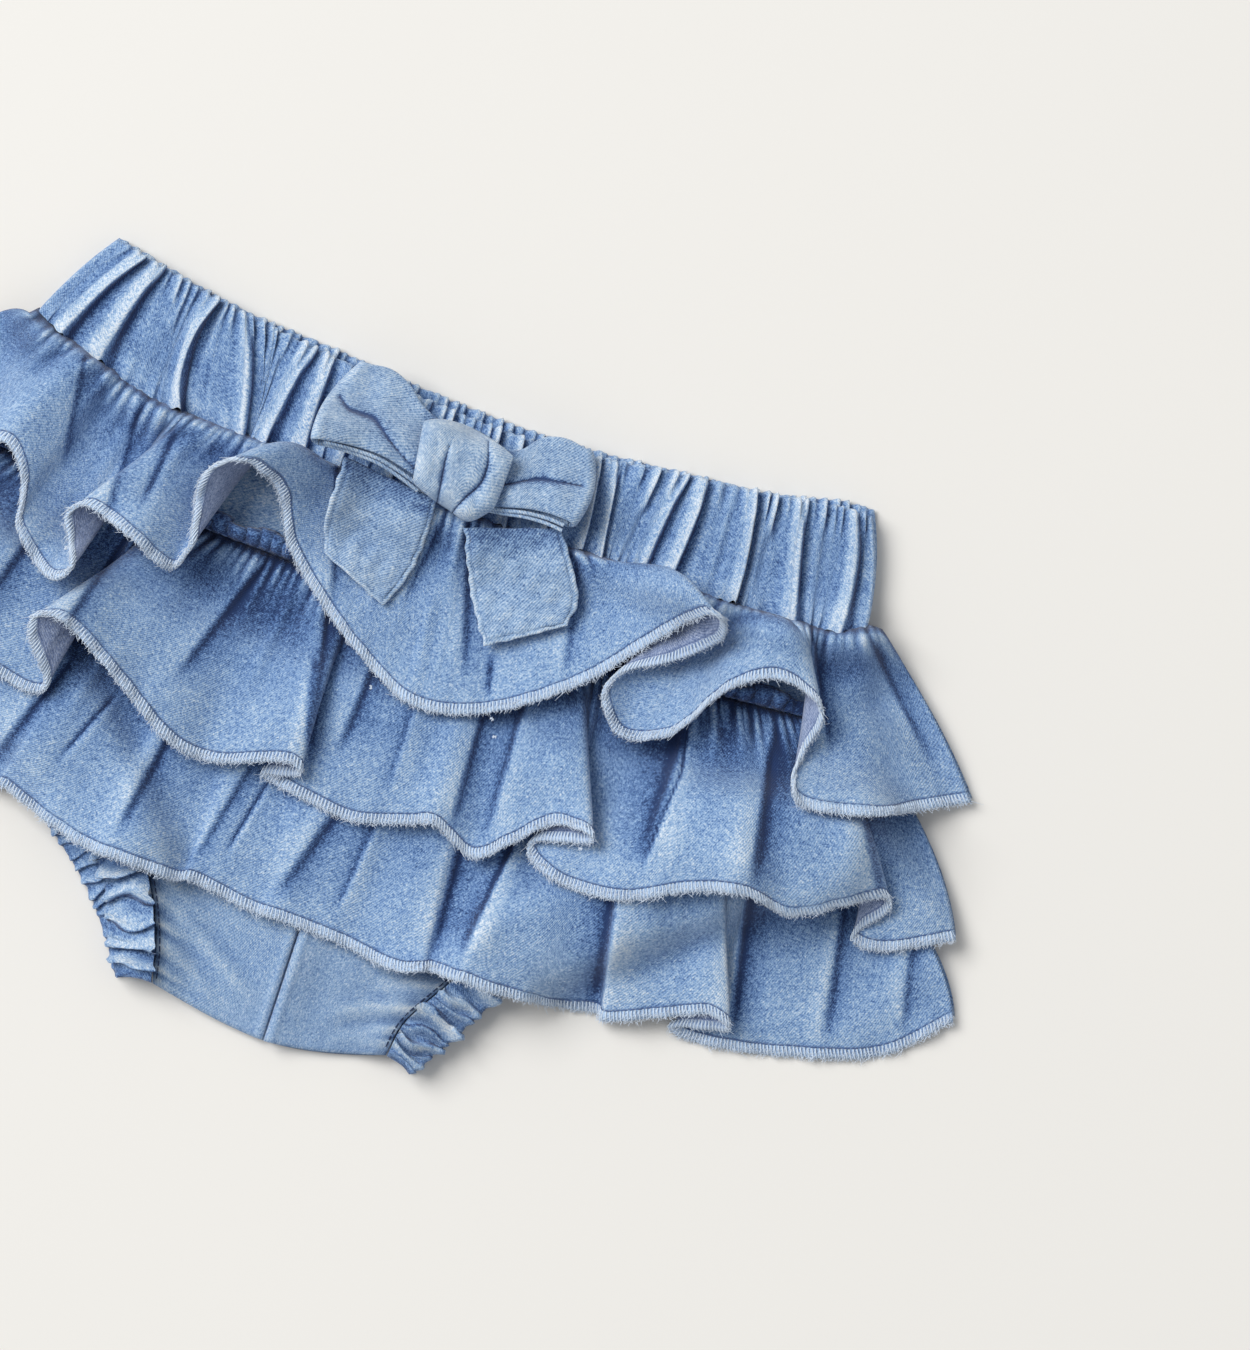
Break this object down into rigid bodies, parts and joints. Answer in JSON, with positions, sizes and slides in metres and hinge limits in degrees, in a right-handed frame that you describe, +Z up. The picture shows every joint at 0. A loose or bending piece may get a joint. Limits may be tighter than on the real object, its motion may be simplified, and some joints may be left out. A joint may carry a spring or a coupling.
{
  "type": "ruffled denim skirt",
  "caption": "Small child's denim skirt lying flat: gathered elastic waist, tiers of ruffles with overlocked hems, bloomers with elastic legs below, and a bow at the front.",
  "frame": {"origin": "under the middle of the garment's bounding box, on the surface that it lies on", "axes": "+X towards the wearer's left as seen from the front, along the waist; +Y towards the waist; +Z up, out of the garment's front"},
  "size_m": [0.32, 0.1792, 0.0291],
  "materials": {
    "denim": "washed light blue twill, matt",
    "bow_denim": "washed light blue twill, a little paler, matt"
  },
  "bodies": {
    "root": {"waistband_back": "denim", "waistband_front": "denim", "ruffle_top_back": "denim", "ruffle_middle_back": "denim", "ruffle_bottom_back": "denim", "ruffle_top_front": "denim", "ruffle_middle_front": "denim", "ruffle_bottom_front": "denim", "bloomers_back": "denim", "bloomers_front_left": "denim", "bloomers_front_right": "denim", "leg_left_back": "denim", "leg_left_front": "denim", "leg_right_back": "denim", "leg_right_front": "denim", "bow_tail_left": "bow_denim", "bow_tail_right": "bow_denim", "bow_loop_left": "bow_denim", "bow_loop_right": "bow_denim", "bow_knot": "bow_denim"}
  },
  "joints": []
}
